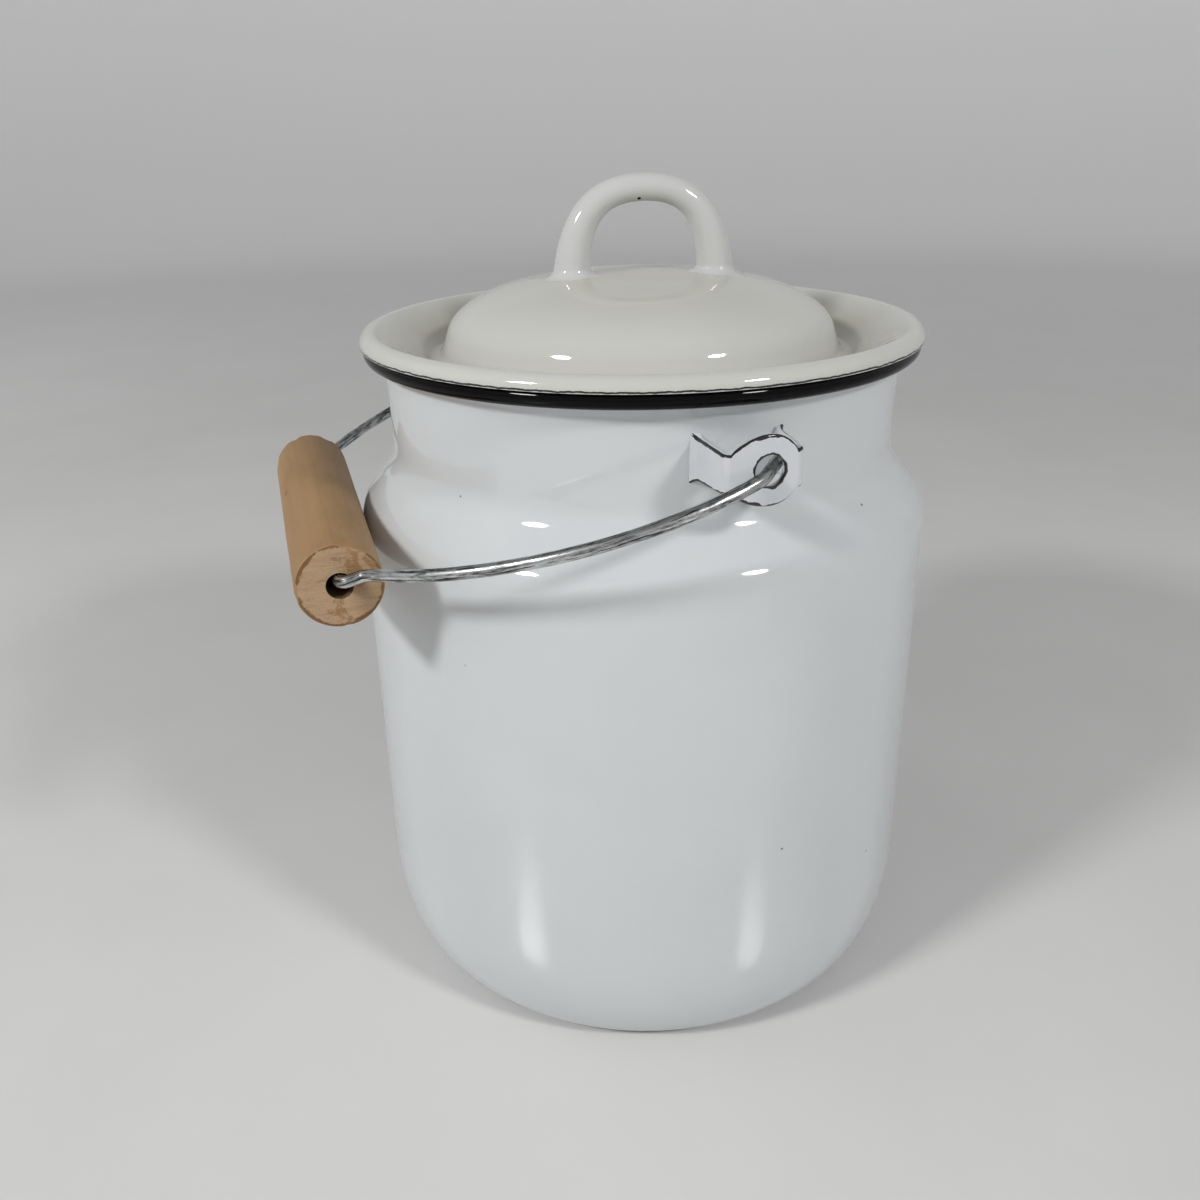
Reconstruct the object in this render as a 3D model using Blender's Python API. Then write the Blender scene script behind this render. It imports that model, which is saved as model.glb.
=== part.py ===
"""Enamelled milk can with a loose inset lid, two welded bridge ears, a wire bail and a turned wooden grip.

The can stands on z = 0 with its axis on Z. The ears lie on X, and the bail rests towards -Y with its
grip leaning on the shoulder. All sizes are in metres.
"""

import math

import bmesh
import bpy
from mathutils import Matrix, Vector

# Clearance between pieces that touch
TOUCH_GAP = 0.0003

# Can
BODY_RADIUS = 0.0800
WALL = 0.0012
BASE_CORNER_WIDTH = 0.0150
BASE_CORNER_HEIGHT = 0.0340
BASE_CORNER_FULLNESS = 2.3
SHOULDER_Z = 0.1472
SHOULDER_SLOPE_DEG = 39.0
SHOULDER_ROUND = 0.0120
NECK_RADIUS = 0.0693
NECK_FLARE = 0.0007
NECK_RISE = 0.0337
BEAD_SECTION = 0.0026

# Lid
LID_SHEET = 0.0010
LID_OVERHANG = 0.0020
LID_RIM_ROUND = 0.0031
LID_FUNNEL_DEG = 30.0
TROUGH_RADIUS = 0.0570
TROUGH_ROUND = 0.0040
DOME_RADIUS = 0.0548
DOME_HEIGHT = 0.0188
DOME_FULLNESS = 2.84
DOME_EDGE_DEG = 75.0
DOME_RISE = 0.0170

# Lid handle
HANDLE_TURN_DEG = -9.65
HANDLE_OFFSET = 0.0012
HANDLE_HALF_SPAN = 0.0196
HANDLE_HEIGHT = 0.0221
HANDLE_LEAN = 0.0011
HANDLE_HIP = 0.0143
HANDLE_SHOULDER = 0.0135
HANDLE_TOP_RADIUS = 0.00355
HANDLE_FOOT_RADIUS = 0.0051

# Ears
EAR_DROP = 0.0150
EAR_SHEET = 0.0015
EAR_BEYOND_BODY = 0.0040
EAR_HALF_WIDTH = 0.0095
EAR_FOOT_SPREAD = 0.0011
EAR_FOOT_HALF_HEIGHT = 0.0051
EAR_FOLD_HALF_HEIGHT = 0.0044
EAR_EYE_HALF_HEIGHT = 0.0081
EAR_FOLD_ROUND = 0.0018
EAR_HOLE_RADIUS = 0.0036
EAR_EYE_SHIFT = 0.0014

# Bail
WIRE_RADIUS = 0.0015
WIRE_BEND = 0.0025
HOOK_DEG = 45.0
HOOK_INSIDE = 0.0043
HOOK_TIP = 0.0016
ARM_ROOT = 0.0028
ARM_BEND = 0.0080
ARM_BOW = 0.0104
ARM_BOW_DEPTH = 0.0385
ARM_KNEE = 0.0098
ARM_KNEE_RISE = 0.0245
BAIL_SPARE = 0.0048
KINK_WIDTH = 0.0025
KINK_RISE = 0.0080

# Grip
GRIP_LENGTH = 0.1000
GRIP_RADIUS = 0.0105
GRIP_BORE_RADIUS = 0.00325
GRIP_EDGE = 0.0006
GRIP_END_PLAY = 0.0010

# Facets
LATHE_STEPS = 52
WIRE_SIDES = 10
HANDLE_SIDES = 14
HOLE_SIDES = 28
ARC_STEP_DEG = 15.0

# Places that follow from the sizes
BEAD_Z = SHOULDER_Z + NECK_RISE + BEAD_SECTION
NECK_TOP_RADIUS = NECK_RADIUS + NECK_FLARE
BEAD_RADIUS = NECK_TOP_RADIUS - WALL + BEAD_SECTION
LID_RADIUS = BEAD_RADIUS + BEAD_SECTION + LID_OVERHANG
APEX_Z = BEAD_Z + DOME_RISE
EAR_Z = BEAD_Z - EAR_DROP
PLATE_X = BODY_RADIUS + EAR_BEYOND_BODY
HOOK_TAN = math.tan(math.radians(HOOK_DEG))
HOOK_SWEEP = EAR_SHEET / 2 * HOOK_TAN + WIRE_RADIUS / math.cos(math.radians(HOOK_DEG))
PIVOT_Z = EAR_Z - (EAR_HOLE_RADIUS - HOOK_SWEEP - TOUCH_GAP)
BAIL_REACH = BODY_RADIUS + GRIP_RADIUS + BAIL_SPARE
GRIP_SAG = GRIP_BORE_RADIUS - WIRE_RADIUS - TOUCH_GAP


def make_material(name, colour, roughness, metallic=0.0):
    material = bpy.data.materials.new(name)
    material.use_nodes = True
    shader = material.node_tree.nodes["Principled BSDF"]
    shader.inputs["Base Color"].default_value = (*colour, 1.0)
    shader.inputs["Roughness"].default_value = roughness
    shader.inputs["Metallic"].default_value = metallic
    material.diffuse_color = (*colour, 1.0)
    return material


def add_object(name, mesh, material=None):
    thing = bpy.data.objects.new(name, mesh)
    bpy.context.scene.collection.objects.link(thing)
    if material is not None:
        mesh.materials.append(material)
    mesh.shade_smooth()
    mesh.set_sharp_from_angle(angle=math.radians(40))
    return thing


def arc(centre, radius, start_deg, end_deg):
    """Points on an arc, both ends included."""
    count = max(2, math.ceil(abs(end_deg - start_deg) / ARC_STEP_DEG))
    points = []
    for i in range(count + 1):
        angle = math.radians(start_deg + (end_deg - start_deg) * i / count)
        points.append(Vector((centre[0] + radius * math.cos(angle), centre[1] + radius * math.sin(angle))))
    return points


def rounded_path(corners):
    """A path through (a, b, rounding) corners, each rounded one replaced by an arc of that radius."""
    points = [Vector(corners[0][:2])]
    for before, corner, after in zip(corners, corners[1:], corners[2:]):
        here = Vector(corner[:2])
        if corner[2] == 0.0:
            points.append(here)
            continue
        back = Vector(before[:2]) - here
        on = Vector(after[:2]) - here
        half = back.angle(on) / 2
        reach = min(corner[2] / math.tan(half), 0.95 * on.length, 0.95 * back.length)
        radius = reach * math.tan(half)
        back.normalize()
        on.normalize()
        centre = here + (back + on).normalized() * radius / math.sin(half)
        first = here + back * reach - centre
        turn = first.angle_signed(here + on * reach - centre)
        count = max(2, math.ceil(math.degrees(abs(turn)) / ARC_STEP_DEG))
        for i in range(count + 1):
            points.append(centre + Matrix.Rotation(-turn * i / count, 2) @ first)
    points.append(Vector(corners[-1][:2]))
    return points


def bezier(ends, count):
    """Points on a cubic curve through the first and last of four control points."""
    points = []
    for i in range(count + 1):
        t = i / count
        weights = ((1 - t) ** 3, 3 * t * (1 - t) ** 2, 3 * t**2 * (1 - t), t**3)
        across = sum(w * end[0] for w, end in zip(weights, ends))
        points.append(Vector((across, sum(w * end[1] for w, end in zip(weights, ends)))))
    return points


def offset_path(points, distance):
    """The path moved sideways, to the right of its own direction when the distance is positive."""
    moved = []
    for i, point in enumerate(points):
        one = (point - points[i - 1]).normalized() if i > 0 else (points[1] - point).normalized()
        two = (points[i + 1] - point).normalized() if i < len(points) - 1 else one
        along = (one + two).normalized()
        side = Vector((along.y, -along.x))
        moved.append(point + side * distance / max(along.dot(one), 0.5))
    return moved


def mirrored(half):
    """A half path from one end to the middle line, carried on to its mirror image."""
    return half + [Vector((-p.x, p.y)) for p in half[-2::-1]]


def lathe(name, profile, material):
    """A profile of (radius, height) points turned about Z."""
    mesh = bpy.data.meshes.new(name)
    edges = [(i, i + 1) for i in range(len(profile) - 1)]
    mesh.from_pydata([(p[0], 0.0, p[1]) for p in profile], edges, [])
    turned = add_object(name, mesh, material)
    screw = turned.modifiers.new("turn", "SCREW")
    screw.axis = "Z"
    screw.steps = LATHE_STEPS
    screw.render_steps = LATHE_STEPS
    screw.use_merge_vertices = True
    screw.merge_threshold = 0.00001
    screw.use_smooth_shade = True
    return turned


def loft(name, rings, material):
    """A closed skin over rings of points, each ring with the same number of points."""
    shape = bmesh.new()
    loops = [[shape.verts.new(point) for point in ring] for ring in rings]
    count = len(loops[0])
    for one, two in zip(loops, loops[1:]):
        for k in range(count):
            shape.faces.new((one[k], one[(k + 1) % count], two[(k + 1) % count], two[k]))
    shape.faces.new(loops[0])
    shape.faces.new(loops[-1])
    bmesh.ops.recalc_face_normals(shape, faces=shape.faces)
    mesh = bpy.data.meshes.new(name)
    shape.to_mesh(mesh)
    shape.free()
    return add_object(name, mesh, material)


def tube_rings(path, radii, sides):
    """Rings of a round tube along a path of (x, z) points that lies in the XZ plane."""
    rings = []
    for i, point in enumerate(path):
        along = (path[min(i + 1, len(path) - 1)] - path[max(i - 1, 0)]).normalized()
        side = Vector((along.y, 0.0, -along.x))
        ring = []
        for k in range(sides):
            angle = 2 * math.pi * k / sides
            offset = side * math.cos(angle) + Vector((0.0, math.sin(angle), 0.0))
            ring.append(Vector((point.x, 0.0, point.y)) + offset * radii[i])
        rings.append(ring)
    return rings


def can_outer_path():
    """Outside of the can from the middle of the base up to the bead."""
    points = [Vector((0.0, 0.0))]
    for i in range(8):
        angle = math.radians(90 * i / 8)
        out = 1 - math.sin(angle) ** (2 / BASE_CORNER_FULLNESS)
        up = 1 - math.cos(angle) ** (2 / BASE_CORNER_FULLNESS)
        points.append(Vector((BODY_RADIUS - BASE_CORNER_WIDTH * out, BASE_CORNER_HEIGHT * up)))
    half_rise = (BODY_RADIUS - NECK_RADIUS) / 2 / math.tan(math.radians(SHOULDER_SLOPE_DEG))
    neck_end = BEAD_Z - math.sqrt(BEAD_SECTION**2 - (BEAD_SECTION - WALL) ** 2)
    corners = [
        (BODY_RADIUS, BASE_CORNER_HEIGHT, 0.0),
        (BODY_RADIUS, SHOULDER_Z - half_rise, SHOULDER_ROUND),
        (NECK_RADIUS, SHOULDER_Z + half_rise, SHOULDER_ROUND),
        (NECK_RADIUS, neck_end, 0.0),
    ]
    points += rounded_path(corners)[:-1]
    start = points[-1].y
    for i in range(1, 6):
        share = i / 5
        points.append(Vector((NECK_RADIUS + NECK_FLARE * share**1.5, start + (neck_end - start) * share)))
    return points


def build_can(material):
    outer = can_outer_path()
    inner = offset_path(outer, -WALL)
    inner[0] = Vector((0.0, WALL))
    meets = math.degrees(math.acos((BEAD_SECTION - WALL) / BEAD_SECTION)) - 180
    bead = arc((BEAD_RADIUS, BEAD_Z), BEAD_SECTION, 180, meets)
    return lathe("can_body", inner[:-1] + bead + outer[-2::-1], material)


def dome_height(across):
    """Height of the dome's upper side at a distance from the axis."""
    drop = 1 - math.sqrt(max(0.0, 1 - (across / DOME_RADIUS) ** DOME_FULLNESS))
    return APEX_Z - DOME_HEIGHT * drop


def lid_top_path():
    """Upper side of the lid from the middle of the dome out to its cut edge."""
    funnel = math.radians(LID_FUNNEL_DEG)
    up = Vector((-math.sin(funnel), math.cos(funnel)))
    out = Vector((math.cos(funnel), math.sin(funnel)))
    rim_r = LID_RADIUS - LID_RIM_ROUND
    level = Vector((BEAD_RADIUS, BEAD_Z)) + up * (BEAD_SECTION + TOUCH_GAP + LID_SHEET - LID_RIM_ROUND)
    rim = level + out * (rim_r - level.x) / out.x
    rim_end = rim + up * LID_RIM_ROUND
    trough_z = rim_end.y - (rim_end.x - TROUGH_RADIUS) * math.tan(funnel)
    path = []
    for i in range(10):
        angle = math.radians(DOME_EDGE_DEG * i / 9)
        across = DOME_RADIUS * math.sin(angle) ** (2 / DOME_FULLNESS)
        path.append(Vector((across, APEX_Z - DOME_HEIGHT * (1 - math.cos(angle)))))
    corners = [
        (path[-1].x, path[-1].y, 0.0),
        (TROUGH_RADIUS, trough_z, TROUGH_ROUND),
        (rim_end.x, rim_end.y, 0.0),
    ]
    return path[:-1] + rounded_path(corners)[:-1] + arc(rim, LID_RIM_ROUND, 90 + LID_FUNNEL_DEG, 0)


def build_lid(material):
    top = lid_top_path()
    under = offset_path(top, LID_SHEET)
    under[0] = Vector((0.0, top[0].y - LID_SHEET))
    return lathe("lid_shell", top + under[::-1], material)


def build_lid_handle(material):
    foot = dome_height(HANDLE_HALF_SPAN)
    top = foot + HANDLE_HEIGHT
    ends = (
        (HANDLE_HALF_SPAN, foot),
        (HANDLE_HALF_SPAN - HANDLE_LEAN, foot + HANDLE_HIP),
        (HANDLE_SHOULDER, top),
        (0.0, top),
    )
    path = [point + Vector((HANDLE_OFFSET, 0.0)) for point in mirrored(bezier(ends, 13))]
    radii = []
    for point in path:
        down = max(0.0, (top - point.y) / HANDLE_HEIGHT)
        radii.append(HANDLE_TOP_RADIUS + (HANDLE_FOOT_RADIUS - HANDLE_TOP_RADIUS) * down**1.2)
    rings = tube_rings(path, radii, HANDLE_SIDES)
    for ring in (rings[0], rings[-1]):
        for point in ring:
            point.z = dome_height(math.hypot(point.x, point.y)) + TOUCH_GAP
    handle = loft("lid_handle", rings, material)
    handle.rotation_euler.z = math.radians(90 + HANDLE_TURN_DEG)
    return handle


def build_ear(name, side, material):
    """A strip bent into a bridge: two legs off the neck and an eye plate that the bail hooks into."""
    foot_y = EAR_HALF_WIDTH + EAR_FOOT_SPREAD
    foot_x = math.sqrt((NECK_TOP_RADIUS + TOUCH_GAP) ** 2 - (foot_y - EAR_SHEET) ** 2)
    folds = [
        (foot_y, foot_x, 0.0),
        (EAR_HALF_WIDTH, PLATE_X, EAR_FOLD_ROUND),
        (-EAR_HALF_WIDTH, PLATE_X, EAR_FOLD_ROUND),
        (-foot_y, foot_x, 0.0),
    ]
    bends = rounded_path(folds)
    middle = len(bends) // 2
    flat = bends[middle - 1].x
    plate = [Vector((flat * (1 - i / 8), PLATE_X)) for i in range(1, 16)]
    outside = bends[:middle] + plate + bends[middle:]
    inside = offset_path(outside, -EAR_SHEET)
    rise = EAR_EYE_HALF_HEIGHT - EAR_FOLD_HALF_HEIGHT
    eye_y = side * EAR_EYE_SHIFT
    rings = []
    for out, back in zip(outside, inside):
        if abs(out.x) < flat:
            from_eye = abs(out.x - eye_y)
            width = flat - eye_y if out.x > eye_y else flat + eye_y
            eye_round = (width**2 + rise**2) / (2 * rise)
            half = EAR_EYE_HALF_HEIGHT - eye_round + math.sqrt(eye_round**2 - from_eye**2)
        else:
            down_leg = (PLATE_X - out.y) / (PLATE_X - foot_x)
            half = EAR_FOLD_HALF_HEIGHT + (EAR_FOOT_HALF_HEIGHT - EAR_FOLD_HALF_HEIGHT) * down_leg
        corners = ((out, half), (out, -half), (back, -half), (back, half))
        rings.append([(p.y, p.x, EAR_Z + h) for p, h in corners])
    ear = loft(name, rings, material)
    ear.rotation_euler.z = 0.0 if side > 0 else math.pi
    drill = bmesh.new()
    eye = (side * PLATE_X, EAR_EYE_SHIFT, EAR_Z)
    place = Matrix.Translation(eye) @ Matrix.Rotation(math.pi / 2, 4, "Y")
    bmesh.ops.create_cone(
        drill,
        cap_ends=True,
        segments=HOLE_SIDES,
        radius1=EAR_HOLE_RADIUS,
        radius2=EAR_HOLE_RADIUS,
        depth=6 * EAR_SHEET,
        matrix=place,
    )
    mesh = bpy.data.meshes.new(name + "_hole")
    drill.to_mesh(mesh)
    drill.free()
    cutter = add_object(name + "_hole", mesh)
    cutter.hide_render = True
    cutter.display_type = "WIRE"
    hole = ear.modifiers.new("hole", "BOOLEAN")
    hole.operation = "DIFFERENCE"
    hole.solver = "EXACT"
    hole.object = cutter
    return ear


def lean_angle(reach, across, down):
    """How far below level a grip at this reach lies as it touches the round of the shoulder.

    across and down lead from the swinging axis to the middle of that round.
    """
    away = math.hypot(across, down)
    lean = SHOULDER_ROUND + GRIP_RADIUS + TOUCH_GAP
    cosine = (reach**2 + away**2 - lean**2) / (2 * reach * away)
    return math.atan2(down, across) - math.acos(max(-1.0, min(1.0, cosine)))


def shoulder_round():
    """Middle of the shoulder's outer round, as (distance from the can's axis, height)."""
    slope = math.radians(SHOULDER_SLOPE_DEG)
    half_rise = (BODY_RADIUS - NECK_RADIUS) / 2 / math.tan(slope)
    height = SHOULDER_Z - half_rise - SHOULDER_ROUND * math.tan(slope / 2)
    return BODY_RADIUS - SHOULDER_ROUND, height


def rest_angle():
    """How far below level the bail's wire lies when its hanging grip leans on the shoulder."""
    across, height = shoulder_round()
    return lean_angle(BAIL_REACH, across + EAR_EYE_SHIFT, PIVOT_Z - GRIP_SAG - height)


def grip_place():
    """Middle of the grip at rest, as (distance out, distance down) from the swinging axis."""
    angle = rest_angle()
    return BAIL_REACH * math.cos(angle), BAIL_REACH * math.sin(angle) + GRIP_SAG


def swing_deg():
    """How far the bail turns from rest, over the lid, until its grip leans on the other side."""
    out, down = grip_place()
    across, height = shoulder_round()
    other = lean_angle(math.hypot(out, down), across - EAR_EYE_SHIFT, PIVOT_Z - height)
    return math.degrees(math.pi + math.atan2(down, out) + other)


def bail_path():
    """Half of the wire's middle line as (along the pivot axis, away from the pivot axis) points."""
    plate = PLATE_X - EAR_SHEET / 2
    inside = plate - HOOK_INSIDE
    root = (plate + ARM_ROOT, ARM_ROOT * HOOK_TAN)
    kink = GRIP_LENGTH / 2 + GRIP_END_PLAY + WIRE_RADIUS
    ends = (
        root,
        (root[0] + ARM_BOW, ARM_BOW_DEPTH),
        (root[0] - ARM_KNEE, BAIL_REACH - ARM_KNEE_RISE),
        (kink + KINK_WIDTH, BAIL_REACH - KINK_RISE),
    )
    arm = [(p.x, p.y, 0.0) for p in bezier(ends, 16)]
    corners = [
        (inside, -HOOK_INSIDE * HOOK_TAN - HOOK_TIP, 0.0),
        (inside, -HOOK_INSIDE * HOOK_TAN, WIRE_BEND),
        (*root, ARM_BEND),
        *arm[1:],
        (kink + WIRE_RADIUS / 3, BAIL_REACH - KINK_RISE + KINK_WIDTH, WIRE_BEND),
        (kink, BAIL_REACH, WIRE_BEND),
        (0.0, BAIL_REACH, 0.0),
    ]
    return rounded_path(corners)


def build_bail(pivot, material):
    path = mirrored(bail_path())
    rings = tube_rings(path, [WIRE_RADIUS] * len(path), WIRE_SIDES)
    wire = loft("bail_wire", rings, material)
    wire.parent = pivot
    wire.rotation_euler.x = math.pi / 2 + rest_angle()
    return wire


def build_grip(pivot, material):
    end = GRIP_LENGTH / 2
    round_r = GRIP_RADIUS - GRIP_EDGE
    profile = [Vector((GRIP_BORE_RADIUS, end))]
    profile += arc((round_r, end - GRIP_EDGE), GRIP_EDGE, 90, 0)
    profile += arc((round_r, GRIP_EDGE - end), GRIP_EDGE, 0, -90)
    profile += [Vector((GRIP_BORE_RADIUS, -end)), Vector((GRIP_BORE_RADIUS, end))]
    grip = lathe("bail_grip", profile, material)
    grip.parent = pivot
    out, down = grip_place()
    grip.location = (0.0, -out, -down)
    grip.rotation_euler.y = math.pi / 2
    return grip


def main():
    for thing in list(bpy.data.objects):
        bpy.data.objects.remove(thing, do_unlink=True)
    enamel = make_material("white_enamel", (0.80, 0.81, 0.82), 0.12)
    ear_enamel = make_material("ear_enamel", (0.78, 0.79, 0.80), 0.14)
    lid_enamel = make_material("lid_enamel", (0.81, 0.80, 0.77), 0.12)
    handle_enamel = make_material("handle_enamel", (0.82, 0.81, 0.78), 0.13)
    zinc = make_material("galvanised_wire", (0.50, 0.50, 0.49), 0.38, 1.0)
    beech = make_material("beech", (0.40, 0.25, 0.13), 0.62)
    build_can(enamel)
    build_ear("ear_right", 1, ear_enamel)
    build_ear("ear_left", -1, ear_enamel)
    build_lid(lid_enamel)
    build_lid_handle(handle_enamel)
    pivot = bpy.data.objects.new("bail_pivot", None)
    pivot.location = (0.0, EAR_EYE_SHIFT, PIVOT_Z)
    bpy.context.scene.collection.objects.link(pivot)
    build_bail(pivot, zinc)
    build_grip(pivot, beech)
    out, down = grip_place()
    print(f"pivot y {EAR_EYE_SHIFT:.5f} z {PIVOT_Z:.5f}, bail down {math.degrees(rest_angle()):.2f} degrees")
    print(f"grip y {EAR_EYE_SHIFT - out:.5f} z {PIVOT_Z - down:.5f}, swing {swing_deg():.2f} degrees")


main()
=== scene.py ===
import math

import bmesh
import bpy
from mathutils import Matrix, Vector, noise


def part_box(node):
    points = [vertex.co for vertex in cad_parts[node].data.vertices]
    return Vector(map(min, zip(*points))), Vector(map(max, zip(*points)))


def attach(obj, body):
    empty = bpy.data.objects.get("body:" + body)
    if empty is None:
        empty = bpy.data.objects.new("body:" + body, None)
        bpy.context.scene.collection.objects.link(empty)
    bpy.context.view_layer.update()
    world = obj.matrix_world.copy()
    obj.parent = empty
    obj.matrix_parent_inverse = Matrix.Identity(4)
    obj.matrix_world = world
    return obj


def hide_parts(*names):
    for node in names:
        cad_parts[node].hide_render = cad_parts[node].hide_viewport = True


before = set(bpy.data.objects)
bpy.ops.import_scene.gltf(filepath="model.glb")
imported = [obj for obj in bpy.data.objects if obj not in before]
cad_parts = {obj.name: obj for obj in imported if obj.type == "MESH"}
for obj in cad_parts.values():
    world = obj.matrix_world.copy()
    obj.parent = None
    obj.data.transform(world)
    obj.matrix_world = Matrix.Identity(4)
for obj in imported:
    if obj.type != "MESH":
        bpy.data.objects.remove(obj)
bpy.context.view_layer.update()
print("frame loaded:", len(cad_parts), "nodes")


# small helpers for outlines
def arcPoints(centre, radius, startDeg, endDeg, stepDeg=4.0):
    count = max(3, math.ceil(abs(endDeg - startDeg) / stepDeg))
    points = []
    for i in range(count + 1):
        angle = math.radians(startDeg + (endDeg - startDeg) * i / count)
        points.append(Vector((centre[0] + radius * math.cos(angle), centre[1] + radius * math.sin(angle))))
    return points


def roundedPath(corners, stepDeg=4.0):
    # each corner is (a, b, rounding)
    points = [Vector(corners[0][:2])]
    for before, corner, after in zip(corners, corners[1:], corners[2:]):
        here = Vector(corner[:2])
        if corner[2] == 0.0:
            points.append(here)
            continue
        back = Vector(before[:2]) - here
        on = Vector(after[:2]) - here
        half = back.angle(on) / 2
        reach = min(corner[2] / math.tan(half), 0.95 * on.length, 0.95 * back.length)
        radius = reach * math.tan(half)
        back.normalize()
        on.normalize()
        centre = here + (back + on).normalized() * radius / math.sin(half)
        first = here + back * reach - centre
        turn = first.angle_signed(here + on * reach - centre)
        count = max(3, math.ceil(math.degrees(abs(turn)) / stepDeg))
        for i in range(count + 1):
            points.append(centre + Matrix.Rotation(-turn * i / count, 2) @ first)
    points.append(Vector(corners[-1][:2]))
    return points


def bezierPoints(ends, count):
    points = []
    for i in range(count + 1):
        t = i / count
        weights = ((1 - t) ** 3, 3 * t * (1 - t) ** 2, 3 * t**2 * (1 - t), t**3)
        across = sum(w * end[0] for w, end in zip(weights, ends))
        points.append(Vector((across, sum(w * end[1] for w, end in zip(weights, ends)))))
    return points


def offsetPath(points, distance):
    moved = []
    for i, point in enumerate(points):
        one = (point - points[i - 1]).normalized() if i > 0 else (points[1] - point).normalized()
        two = (points[i + 1] - point).normalized() if i < len(points) - 1 else one
        along = (one + two).normalized()
        side = Vector((along.y, -along.x))
        moved.append(point + side * distance / max(along.dot(one), 0.5))
    return moved


def evenPath(points, step):
    # extra points on long straight runs
    out = [points[0]]
    for a, b in zip(points, points[1:]):
        count = max(1, math.ceil((b - a).length / step))
        out += [a.lerp(b, k / count) for k in range(1, count + 1)]
    return out


# small helpers for meshes
def spinProfile(name, profile, steps):
    shape = bmesh.new()
    loops = []
    for radius, height in profile:
        if loops and (radius, height) == profile[0]:
            loops.append(loops[0])  # the profile closes on itself
            continue
        if radius < 1e-7:
            loops.append([shape.verts.new((0.0, 0.0, height))])
            continue
        loop = []
        for k in range(steps):
            angle = 2 * math.pi * k / steps
            loop.append(shape.verts.new((radius * math.cos(angle), radius * math.sin(angle), height)))
        loops.append(loop)
    for one, two in zip(loops, loops[1:]):
        for k in range(steps):
            n = (k + 1) % steps
            if len(one) == 1:
                shape.faces.new((one[0], two[k], two[n]))
            elif len(two) == 1:
                shape.faces.new((one[k], two[0], one[n]))
            else:
                shape.faces.new((one[k], two[k], two[n], one[n]))
    return meshFrom(name, shape)


def skinRings(name, rings, marks=None):
    # marks is one number per point of a ring, kept as the attribute "edge"
    shape = bmesh.new()
    layer = shape.verts.layers.float.new("edge") if marks else None
    uvLayer = shape.loops.layers.uv.new("UVMap")
    loops, lengths, run = [], [], 0.0
    for i, ring in enumerate(rings):
        loop = [shape.verts.new(point) for point in ring]
        if marks:
            for vert, mark in zip(loop, marks):
                vert[layer] = mark
        loops.append(loop)
        if i:
            middle = sum((Vector(p) for p in ring), Vector()) / len(ring)
            before = sum((Vector(p) for p in rings[i - 1]), Vector()) / len(ring)
            run += (middle - before).length
        lengths.append(run)
    count = len(loops[0])
    for i in range(len(loops) - 1):
        one, two = loops[i], loops[i + 1]
        for k in range(count):
            n = (k + 1) % count
            face = shape.faces.new((one[k], one[n], two[n], two[k]))
            spots = ((i, k), (i, k + 1), (i + 1, k + 1), (i + 1, k))
            for corner, (row, col) in zip(face.loops, spots):
                corner[uvLayer].uv = (lengths[row], col / count)
    shape.faces.new(loops[0])
    shape.faces.new(loops[-1])
    return meshFrom(name, shape)


def meshFrom(name, shape):
    bmesh.ops.recalc_face_normals(shape, faces=shape.faces)
    mesh = bpy.data.meshes.new(name)
    shape.to_mesh(mesh)
    shape.free()
    mesh.shade_smooth()
    mesh.set_sharp_from_angle(angle=math.radians(50))
    return mesh


def addPiece(name, mesh, finishes, body, node):
    piece = bpy.data.objects.new(name, mesh)
    bpy.context.scene.collection.objects.link(piece)
    for finish in finishes:
        mesh.materials.append(finish)
    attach(piece, body)
    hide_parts(node)
    return piece


def drillHole(piece, place, radius, depth, finish, sides=64):
    drill = bmesh.new()
    size = {"segments": sides, "radius1": radius, "radius2": radius, "depth": depth}
    bmesh.ops.create_cone(drill, cap_ends=True, matrix=place, **size)
    mesh = bpy.data.meshes.new(piece.name + "Drill")
    drill.to_mesh(mesh)
    drill.free()
    mesh.materials.append(finish)
    cutter = bpy.data.objects.new(piece.name + "Drill", mesh)
    bpy.context.scene.collection.objects.link(cutter)
    hole = piece.modifiers.new("hole", "BOOLEAN")
    hole.operation = "DIFFERENCE"
    hole.solver = "EXACT"
    hole.material_mode = "TRANSFER"
    hole.object = cutter
    depsgraph = bpy.context.evaluated_depsgraph_get()
    drilled = bpy.data.meshes.new_from_object(piece.evaluated_get(depsgraph))
    piece.modifiers.clear()
    piece.data = drilled
    bpy.data.objects.remove(cutter, do_unlink=True)
    drilled.shade_smooth()
    drilled.set_sharp_from_angle(angle=math.radians(40))


# small helpers for finishes
def newFinish(name):
    finish = bpy.data.materials.new(name)
    finish.use_nodes = True
    tree = finish.node_tree
    return finish, tree, tree.nodes["Principled BSDF"]


def addNode(tree, kind, inputs=None, **settings):
    node = tree.nodes.new(kind)
    for key, value in settings.items():
        setattr(node, key, value)
    for key, value in (inputs or {}).items():
        if isinstance(value, bpy.types.NodeSocket):
            tree.links.new(value, node.inputs[key])
        else:
            node.inputs[key].default_value = value
    return node


def objectSpace(tree):
    return addNode(tree, "ShaderNodeTexCoord").outputs["Object"]


def noiseOf(tree, where, scale, detail=3.0, rough=0.55, twist=0.0):
    values = {"Vector": where, "Scale": scale, "Detail": detail, "Roughness": rough, "Distortion": twist}
    return addNode(tree, "ShaderNodeTexNoise", values).outputs["Fac"]


def stretched(tree, where, scale, turn=(0.0, 0.0, 0.0)):
    values = {"Vector": where, "Scale": scale, "Rotation": turn}
    return addNode(tree, "ShaderNodeMapping", values).outputs["Vector"]


def remap(tree, value, low, high, toLow=0.0, toHigh=1.0):
    values = {"Value": value, "From Min": low, "From Max": high, "To Min": toLow, "To Max": toHigh}
    return addNode(tree, "ShaderNodeMapRange", values, clamp=True).outputs["Result"]


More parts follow.
